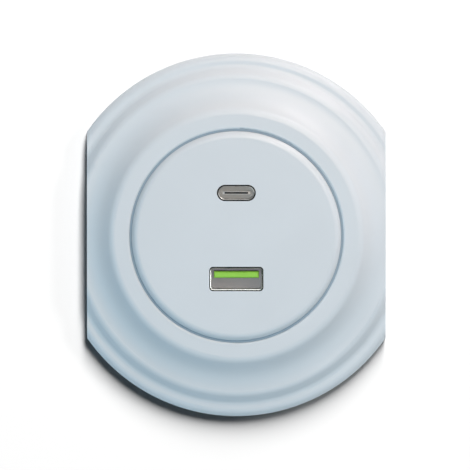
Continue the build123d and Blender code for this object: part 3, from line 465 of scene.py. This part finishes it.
# %% [markdown]
# ## On the boards: capacitors, fuse and chips
#
# Drawn aluminium cans have fine rings round them. The boxed capacitor is glossy cast plastic, the
# discs are dipped in epoxy that runs a little, and the chips are matt moulding compound with a fine
# speckle of filler.

# %% Capacitors, fuse and chips
finishes["can"] = finish("drawn_can", rolled, {
    "Colour": to_linear(200, 202, 204), "Streak Scale": (300.0, 6000.0, 300.0),
    "Roughness": 0.34}, bump=2e-6, Metallic=1.0)
cast = {  # screen colour, flow, flow scale, roughness, bump
    "box_grey": ((172, 174, 176), 0.03, 200.0, 0.3, 2e-6),
    "disc_blue": ((52, 92, 166), 0.1, 450.0, 0.24, 1.2e-5),
    "fuse_brown": ((96, 62, 44), 0.08, 350.0, 0.35, 4e-6),
    "chip_black": ((34, 34, 36), 0.25, 5000.0, 0.62, 5e-6),
}
for slot, (colour, flow, scale, roughness, bump) in cast.items():
    finishes[slot] = finish(slot, skin, {
        "Colour": to_linear(*colour), "Flow": flow, "Flow Scale": scale,
        "Roughness": roughness}, bump=bump)
print("cast", list(cast))

# %% [markdown]
# ## The boards
#
# Circuit board is woven glass in resin under a green lacquer, and the weave shows through as a fine
# grid. Two sets of bands at right angles, multiplied, give that grid; a coarse noise adds the
# uneven lacquer.

# %% Board laminate
WEAVE_PITCH = 0.55 * MM
WEAVE_DARK, WEAVE_LIGHT = 0.88, 1.1
board = finish("board_green", skin, {
    "Colour": to_linear(38, 112, 64), "Flow": 0.08, "Flow Scale": 180.0,
    "Roughness": 0.26}, bump=1e-6)
tree = board.node_tree
place = object_place(tree)
threads = []
for across in ((1, 0, 0), (0, 0, 1)):
    steps = [value * math.tau / WEAVE_PITCH for value in across]
    threads.append(maths(tree, "SINE", distance_along(tree, place, steps)))
weave = maths(tree, "MULTIPLY", threads[0], threads[1])
tone = put(tree, "ShaderNodeMapRange", {
    "Value": weave, "From Min": -1.0, "To Min": WEAVE_DARK, "To Max": WEAVE_LIGHT}).outputs[0]
lacquer = scaled(tree, group_colour(tree), tone)
tree.links.new(lacquer, tree.nodes["Principled BSDF"].inputs["Base Color"])
finishes["board_green"] = board
print(len(finishes), "finishes")

# %% [markdown]
# ## Dressing the solids
#
# The record names a material slot for every solid, and each slot has its finish by now.

# %% Dress every solid
for name, node in nodes.items():
    node.data.materials.clear()
    node.data.materials.append(finishes[slot_of[name]])
print("dressed", len(nodes), "solids")

# %% [markdown]
# ## Threads on the claw screws
#
# The claw screws are M3: a V thread with a pitch of half a millimetre, and a slotted cheese head.
# In the solid model the shank is plain. A thread could be a displaced cylinder, but spinning the
# zigzag of one pitch while shifting it along makes the true helix. It starts and ends beyond the
# screw, and two cuts square off the ends.

# %% One cut
CUT_TOLERANCE = 1e-7


def cut_across(bm, point, normal, clear_outer=False):
    """Cuts everything with a plane, and gives the edges of the cut."""
    cut = bmesh.ops.bisect_plane(
        bm, geom=bm.verts[:] + bm.edges[:] + bm.faces[:], dist=CUT_TOLERANCE,
        plane_co=point, plane_no=normal, clear_outer=clear_outer)
    return [item for item in cut["geom_cut"] if isinstance(item, bmesh.types.BMEdge)]


print("cuts to", CUT_TOLERANCE, "m")

# %% One thread
SHANK_RADIUS = 1.5 * MM
PITCH = 0.5 * MM
THREAD_DEPTH = 0.54 * PITCH
LEAD_IN = 1.5 * PITCH
SPARE_TURNS = 3
TURN_STEPS = 24
SAME_POINT = 0.005 * MM
ZIGZAG = ((0, 0), (0.125, 0), (0.44, 1), (0.56, 1), (0.875, 0), (1, 0))


def threaded_shank(bm, start, end):
    """Spins the thread from one height to the other along y, and closes both ends."""
    root = SHANK_RADIUS - THREAD_DEPTH
    turns = math.ceil((end - start) / PITCH) + SPARE_TURNS
    first = start - LEAD_IN
    line = [bm.verts.new((root + out * (SHANK_RADIUS - root), first + along * PITCH, 0))
            for along, out in ZIGZAG]
    edges = [bm.edges.new(pair) for pair in zip(line, line[1:])]
    bmesh.ops.spin(bm, geom=line + edges, cent=(0, 0, 0), axis=(0, 1, 0),
                   dvec=(0, PITCH / TURN_STEPS, 0), angle=math.tau * turns,
                   steps=TURN_STEPS * turns, use_merge=False)
    bmesh.ops.remove_doubles(bm, verts=bm.verts[:], dist=SAME_POINT)
    for height, way in ((start, -1), (end, 1)):
        rim = cut_across(bm, (0, height, 0), (0, way, 0), clear_outer=True)
        bmesh.ops.edgeloop_fill(bm, edges=rim)
    bmesh.ops.recalc_face_normals(bm, faces=bm.faces[:])


print("thread", round(2 * SHANK_RADIUS / MM, 2), "by", round(PITCH / MM, 2), "mm")

# %% [markdown]
# ## The head of a claw screw
#
# A cheese head is a short disc with a slot for the driver. The slot could be cut out with another
# solid; here the disc starts at half its height, two cuts part its face in three, and the outer two
# parts are drawn out to the full height. What stays low between them is the slot, and the upper
# edges are plain enough to bevel.

# %% One slotted head
QUARTER_TURN = math.radians(90)
HEAD_HEIGHT = 2.0 * MM
DRIVER_SLOT = 0.7 * MM
HEAD_SEGMENTS = 64
HEAD_EDGE = 0.15 * MM
HEAD_EDGE_STEPS = 2
NEAR = 0.01 * HEAD_HEIGHT


def add_slotted_head(bm, radius, under):
    """Adds a closed head that reaches forward from its underside, with a slot across it."""
    floor = under - HEAD_HEIGHT / 2
    head = bmesh.new()
    upright = (Matrix.Translation((0, (floor + under) / 2, 0))
               @ Matrix.Rotation(QUARTER_TURN, 4, "X"))
    bmesh.ops.create_cone(head, cap_ends=True, segments=HEAD_SEGMENTS, radius1=radius,
                          radius2=radius, depth=under - floor, matrix=upright)
    for side in (-1, 1):
        cut_across(head, (0, 0, side * DRIVER_SLOT / 2), (0, 0, side))
    moons = [face for face in head.faces
             if abs(face.calc_center_median().z) > DRIVER_SLOT / 2
             and all(vert.co.y < floor + NEAR for vert in face.verts)]
    drawn = bmesh.ops.extrude_face_region(head, geom=moons)["geom"]
    bmesh.ops.delete(head, geom=moons, context="FACES_ONLY")
    corners = [item for item in drawn if isinstance(item, bmesh.types.BMVert)]
    bmesh.ops.translate(head, verts=corners, vec=(0, -HEAD_HEIGHT / 2, 0))
    top = [edge for edge in head.edges
           if all(vert.co.y < under - HEAD_HEIGHT + NEAR for vert in edge.verts)]
    bmesh.ops.bevel(head, geom=top, offset=HEAD_EDGE, affect="EDGES",
                    segments=HEAD_EDGE_STEPS, profile=0.5, material=-1)
    bmesh.ops.recalc_face_normals(head, faces=head.faces[:])
    mesh = bpy.data.meshes.new("head")
    head.to_mesh(mesh)
    head.free()
    bm.from_mesh(mesh)
    bpy.data.meshes.remove(mesh)


print("head", round(HEAD_HEIGHT / MM, 2), "mm high")


# %% From bmesh to piece
def add_piece(name, bm, material):
    """Makes an object with one material from a finished bmesh."""
    mesh = bpy.data.meshes.new(name)
    bm.to_mesh(mesh)
    bm.free()
    mesh.materials.append(material)
    piece = bpy.data.objects.new(name, mesh)
    bpy.context.scene.collection.objects.link(piece)
    print(name, len(mesh.polygons), "faces")
    return piece


print("piece maker ready")

# %% Both claw screws
SHARP = math.radians(30)
for side in ("right", "left"):
    node = "claw_screw_" + side
    low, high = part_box(node)
    under = low[1] + HEAD_HEIGHT
    bm = bmesh.new()
    threaded_shank(bm, under, high[1])
    add_slotted_head(bm, (high[0] - low[0]) / 2, under)
    axis = ((low[0] + high[0]) / 2, 0, (low[2] + high[2]) / 2)
    bmesh.ops.translate(bm, verts=bm.verts[:], vec=axis)
    screw = add_piece("threaded_" + node, bm, finishes["zinc_steel"])
    screw.data.set_sharp_from_angle(angle=SHARP)
    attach(screw, node)
    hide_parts(node)

# %% [markdown]
# ## Painted shade round the ports
#
# A thin near-black ring runs round each port and fills the gap between the plate's opening and the
# metal tube. Its colour is painted shade for that gap. It lies in the chamfer of the opening, has a
# thin lip over the tube's sharp edge, and ends in a straight skirt. A flat grid is wrapped round the
# port: one direction of the grid follows the rounded outline, the other the section, and merging the
# seams closes the ring.

# %% One ring of painted shade
CORNER_STEPS = 8
GRID_HALF = 0.5
SEAM = 1e-8


def rounded_outline(centre, half, radius):
    """The outline's points, each as the middle of its corner's arc and the angle on that arc."""
    points = []
    for quarter, (right, up) in enumerate(((1, 1), (-1, 1), (-1, -1), (1, -1))):
        middle = (centre[0] + right * (half[0] - radius), centre[1] + up * (half[1] - radius))
        for step in range(CORNER_STEPS + 1):
            points.append((middle, QUARTER_TURN * (quarter + step / CORNER_STEPS)))
    return points


def wrap_ring(bm, outline, radius, section, front):
    """Wraps a grid round an outline; a section has steps outwards and depths behind the front."""
    around, across = len(outline), len(section)
    bmesh.ops.create_grid(bm, x_segments=around, y_segments=across, size=GRID_HALF)
    for vert in bm.verts:
        middle, angle = outline[round((vert.co.x + GRID_HALF) * around) % around]
        out, depth = section[round((vert.co.y + GRID_HALF) * across) % across]
        reach = radius + out
        vert.co = (middle[0] + reach * math.cos(angle), front + depth,
                   middle[1] + reach * math.sin(angle))
    bmesh.ops.remove_doubles(bm, verts=bm.verts[:], dist=SEAM)
    bmesh.ops.recalc_face_normals(bm, faces=bm.faces[:])


print("seal corners in", CORNER_STEPS, "steps")

# %% Both rings of painted shade
FIT = 0.005 * MM
SKIRT = 0.5 * MM
CHAMFER = 0.08 * MM
SUNK = 0.01 * MM
LIP = 0.08 * MM
LIP_BACK = 0.04 * MM
PORTS = (  # shell, gap round it, radius of its corners where the ends aren't fully round
    ("usb_a_shell", 0.13 * MM, 0.7 * MM),
    ("usb_c_shell", 0.2 * MM, None),
)
plate_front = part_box("centre_plate")[0][1]
for node, gap, corner in PORTS:
    low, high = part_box(node)
    centre = ((low[0] + high[0]) / 2, (low[2] + high[2]) / 2)
    half = ((high[0] - low[0]) / 2, (high[2] - low[2]) / 2)
    radius = corner or half[1] - FIT
    section = ((-LIP, SUNK), (gap + CHAMFER - SUNK, SUNK), (gap - FIT, CHAMFER),
               (gap - FIT, SKIRT), (FIT, SKIRT), (FIT, LIP_BACK), (-LIP, LIP_BACK))
    bm = bmesh.new()
    wrap_ring(bm, rounded_outline(centre, half, radius), radius, section, plate_front)
    # A near-black ring of painted shade in the gap round the tube.
    gap_shade = add_piece("seal_" + node, bm, finishes["port_gap_shade"])
    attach(gap_shade, "socket")

# %% [markdown]
# ## Painted shade in the joint round the plate
#
# A narrow blue-grey line parts the plate from the frame: a strip that fills the joint just below the
# frame's rounded lip. It is darker than the cover, and its colour is painted shade for the groove. A
# plain ring would cut into that lip, so the strip's section is drawn once, with an outer side that
# follows the rounding, and spun once round the socket's axis.

# %% Section of the strip
PLATE_GAP = 0.45 * MM
LIP_ROUND = 0.6 * MM
STRIP_SUNK = 0.18 * MM
STRIP_FIT = 0.02 * MM
LIP_STEPS = 5
plate_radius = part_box("centre_plate")[1][0]
lip_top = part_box("cover_frame")[0][1]
lip_middle = plate_radius + PLATE_GAP + LIP_ROUND
reach = LIP_ROUND + STRIP_FIT
steepest = math.asin((LIP_ROUND - STRIP_SUNK) / reach)
section = [(plate_radius + STRIP_FIT, lip_top + LIP_ROUND),
           (plate_radius + STRIP_FIT, lip_top + STRIP_SUNK)]
for step in range(LIP_STEPS + 1):
    angle = steepest * (1 - step / LIP_STEPS)
    section.append((lip_middle - reach * math.cos(angle),
                    lip_top + LIP_ROUND - reach * math.sin(angle)))
print("section of", len(section), "points")

# %% Strip of painted shade in the joint
STRIP_STEPS = 240
# Blue-grey and darker than the cover: painted shade for the groove of the joint.
finishes["groove_shade_strip"] = finish("groove_shade_strip", skin, {
    "Colour": to_linear(134, 153, 167), "Flow": 0.04, "Flow Scale": 300.0,
    "Roughness": 0.6}, bump=1e-6, Specular_IOR_Level=0.2)
bm = bmesh.new()
line = [bm.verts.new((radius, depth, 0)) for radius, depth in section]
edges = [bm.edges.new(pair) for pair in zip(line, line[1:] + line[:1])]
bmesh.ops.spin(bm, geom=line + edges, cent=(0, 0, 0), axis=(0, 1, 0), dvec=(0, 0, 0),
               angle=math.tau, steps=STRIP_STEPS, use_merge=True)
bmesh.ops.recalc_face_normals(bm, faces=bm.faces[:])
strip = add_piece("groove_shade_strip", bm, finishes["groove_shade_strip"])
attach(strip, "socket")

# %% [markdown]
# ## The camera
#
# The photograph is taken from straight ahead and a touch above, with hardly any perspective, so the
# lens is very long and the camera stands well back. Scale and place come from the picture's own
# pixels: the flat sides are 71 mm apart in life.

# %% Camera
PHOTO_PIXELS = 470
PIXELS_PER_MM = 4.203
CENTRE_PIXEL = (236.35, 234.9)
LENS = 800.0
SENSOR = 36.0
CAMERA_UP = math.radians(1.7)
AIM_DEPTH = -3 * MM
view_width = PHOTO_PIXELS / PIXELS_PER_MM * MM
camera_data = bpy.data.cameras.new("camera")
camera_data.lens = LENS
camera_data.sensor_width = SENSOR
camera = bpy.data.objects.new("camera", camera_data)
bpy.context.scene.collection.objects.link(camera)
target = Vector(((PHOTO_PIXELS / 2 - CENTRE_PIXEL[0]) / PIXELS_PER_MM * MM, AIM_DEPTH,
                 (CENTRE_PIXEL[1] - PHOTO_PIXELS / 2) / PIXELS_PER_MM * MM))
away = Vector((0, -math.cos(CAMERA_UP), math.sin(CAMERA_UP)))
camera.location = target + away * (view_width * LENS / SENSOR)
camera.rotation_euler = (QUARTER_TURN - CAMERA_UP, 0, 0)
bpy.context.scene.camera = camera
print("camera", [round(value, 4) for value in camera.location])

# %% [markdown]
# ## The wall's paint
#
# The socket sits on a white wall of matt paint. Its colour is a middle grey that its own lamps
# light to white. A paler one would take up more of the light that the socket throws back at it,
# and the shadow would lose its depth. Seen from behind, the wall is clear, so that it doesn't hide
# the back of the part.

# %% Wall paint
WALL_GREY = (0.4, 0.4, 0.4, 1.0)
paint = bpy.data.materials.new("wall_paint")
paint.use_nodes = True
tree = paint.node_tree
tree.nodes.clear()
chalk = put(tree, "ShaderNodeBsdfDiffuse", {"Color": WALL_GREY}).outputs[0]
clear = put(tree, "ShaderNodeBsdfTransparent").outputs[0]
behind = put(tree, "ShaderNodeNewGeometry").outputs["Backfacing"]
one_sided = put(tree, "ShaderNodeMixShader", {0: behind, 1: chalk, 2: clear}).outputs[0]
put(tree, "ShaderNodeOutputMaterial", {"Surface": one_sided})
print("wall paint ready")

# %% [markdown]
# ## The wall
#
# A real wall has an opening for the box. This one has the outline of the frame that covers it, a
# little smaller, so that light reaches the back of the part when it is looked at from behind. A
# round outline is clamped to the flat sides, and the space between it and a large square is filled.

# %% Wall
COVERED = 0.25 * MM
WALL_DEPTH = 0.2 * MM
WALL_REACH = 2.0
OPENING_STEPS = 96
SQUARE = 4
low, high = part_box("cover_frame")
bm = bmesh.new()
bmesh.ops.create_circle(bm, cap_ends=False, segments=OPENING_STEPS, radius=high[2] - COVERED)
for vert in bm.verts:
    vert.co.x = max(low[0] + COVERED, min(high[0] - COVERED, vert.co.x))
bmesh.ops.create_circle(bm, cap_ends=False, segments=SQUARE, radius=WALL_REACH)
bmesh.ops.triangle_fill(bm, use_beauty=True, edges=bm.edges[:], normal=(0, 0, 1))
upright = Matrix.Translation((0, WALL_DEPTH, 0)) @ Matrix.Rotation(QUARTER_TURN, 4, "X")
bmesh.ops.transform(bm, matrix=upright, verts=bm.verts[:])
backward = [face for face in bm.faces if face.normal.y > 0]
bmesh.ops.reverse_faces(bm, faces=backward)
wall = add_piece("wall", bm, paint)
wall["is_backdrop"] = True
print("turned round:", len(backward), "faces")

# %% [markdown]
# ## The lamps
#
# In the photograph a soft box above and to the right models the steps, a grazing strip draws the
# bright lines on the upper right, and a soft shadow falls down and to the left. The wall is pure
# white. More light would whiten it, but would bleach the socket too, so light linking keeps the
# lamps apart: each one lights only the pieces in its own collection.


# %% What the lamps light
def lit_group(name, *members):
    """A collection for lamps to be linked to."""
    group = bpy.data.collections.new(name)
    for member in members:
        group.objects.link(member)
    print(name, len(members), "so far")
    return group


pieces_lit = lit_group("socket pieces")
insides_lit = lit_group("port insides", nodes["usb_a_insulator"], nodes["usb_c_tongue"])
large_shell_lit = lit_group("large port shell", nodes["usb_a_shell"])
small_shell_lit = lit_group("small port shell", nodes["usb_c_shell"])
wall_lit = lit_group("wall only", wall)

# %% One soft box
WHITE = (1, 1, 1)


def lamp(name, direction, distance, size, power, colour, receivers):
    """A rectangular soft box that looks at the socket from a direction."""
    data = bpy.data.lights.new(name, "AREA")
    data.shape = "RECTANGLE"
    data.size, data.size_y = size
    data.energy = power
    data.color = colour
    box = bpy.data.objects.new(name, data)
    bpy.context.scene.collection.objects.link(box)
    heading = Vector(direction).normalized()
    box.location = heading * distance
    box.rotation_euler = (-heading).to_track_quat("-Z", "Y").to_euler()
    box.visible_camera = False
    box.light_linking.receiver_collection = receivers
    print(name, power, "W on", receivers.name)


print("soft boxes ready")

# %% [markdown]
# ## Lamps for the wall
#
# The longer a lamp is, the softer the edge of its shadow. A tall strip above gives the shadow below
# the socket its long fade, and a weaker lamp far to the right the narrow one beside it.

# %% Wall lamps
lamp("wall strip", (0.21, -1, 0.97), 3.0, (0.6, 2.5), 328.0, WHITE, wall_lit)
lamp("wall side", (1.3, -1, 0.5), 3.0, (0.5, 1.0), 34.0, WHITE, wall_lit)

# %% [markdown]
# ## Lamps for the socket
#
# The key and the edge strip are warm and come from the upper right. The fills are blue and come
# from below and from both sides, so the slopes that face away turn blue-grey, while the flat plate
# keeps its own colour. The last one is white and lights the back of the part, which only shows when
# it is looked at from behind.

# %% Socket lamps
lamp("key", (0.22, -1, 0.44), 0.9, (0.5, 0.6), 6.15, (1, 0.795, 0.652), pieces_lit)
lamp("edge strip", (0.5, -0.2, 0.85), 0.9, (0.9, 0.3), 6.3, (1, 0.89, 0.874), pieces_lit)
lamp("low fill", (0.1, -1, -0.8), 0.9, (1.0, 0.6), 2.87, (0.76, 0.93, 1), pieces_lit)
lamp("left fill", (-0.9, -1, -0.3), 0.9, (0.6, 0.8), 2.6, (0.21, 0.68, 1), pieces_lit)
lamp("right fill", (1, -0.6, 0.2), 0.9, (0.5, 0.6), 1.34, (0.55, 0.77, 1), pieces_lit)
lamp("rear fill", (-0.3, 1, 0.6), 0.9, (1.4, 1.4), 9.0, WHITE, pieces_lit)

# %% [markdown]
# ## Lamps for the ports
#
# A ring round the lens looks straight into the ports and lights only what is inside them. Lamps
# beside the socket's face draw the bright edges of the two metal tubes, which are too small for the
# soft boxes to show.

# %% Port lamps
lamp("port ring", (0.0, -1, 0.02), 2.0, (0.15, 0.15), 20.0, WHITE, insides_lit)
lamp("large port side", (1, -0.15, 0.1), 0.5, (0.2, 0.2), 1.6, WHITE, large_shell_lit)
lamp("large port top", (0, -0.15, 1), 0.5, (0.2, 0.2), 0.7, WHITE, large_shell_lit)
lamp("small port high", (0.7, -0.15, 0.7), 0.5, (0.9, 0.9), 5.0, WHITE, small_shell_lit)
lamp("small port low", (-0.7, -0.15, -0.7), 0.5, (0.9, 0.9), 7.0, WHITE, small_shell_lit)

# %% [markdown]
# ## The world
#
# Seen directly the studio is plain white. As a light it is dim, so that the shadow on the wall
# stays deep. What metal and gloss reflect lies between: bright towards the upper right, where the
# lamps are, and darker below.

# %% World
AMBIENT = 0.03
PLAIN_WHITE = 1.0
BRIGHT_WAY = (0.5, -0.2, 0.8)
DARK_FROM, BRIGHT_FROM = -0.6, 0.8
DARKEST, BRIGHTEST = 0.15, 0.9
world = bpy.data.worlds.new("studio")
world.use_nodes = True
tree = world.node_tree
tree.nodes.clear()
path = put(tree, "ShaderNodeLightPath").outputs
heading = put(tree, "ShaderNodeTexCoord").outputs["Generated"]
reflected = put(tree, "ShaderNodeMapRange", {
    "Value": distance_along(tree, heading, BRIGHT_WAY),
    "From Min": DARK_FROM, "From Max": BRIGHT_FROM,
    "To Min": DARKEST, "To Max": BRIGHTEST}).outputs[0]
polished = maths(tree, "MAXIMUM", path["Is Glossy Ray"], path["Is Transmission Ray"])
gloss_or_light = put(tree, "ShaderNodeMix", {
    0: polished, 2: AMBIENT, 3: reflected}).outputs[0]
strength = put(tree, "ShaderNodeMix", {
    0: path["Is Camera Ray"], 2: gloss_or_light, 3: PLAIN_WHITE}).outputs[0]
glow = put(tree, "ShaderNodeBackground", {"Color": (*WHITE, 1), "Strength": strength})
put(tree, "ShaderNodeOutputWorld", {"Surface": glow.outputs[0]})
bpy.context.scene.world = world
print("world ready")

# %% [markdown]
# ## Finishing
#
# Every piece joins the collection that the soft boxes light. The colours are shown as they are,
# with no film curve.

# %% Finish
bpy.context.scene.view_settings.view_transform = "Standard"
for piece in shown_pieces():
    pieces_lit.objects.link(piece)
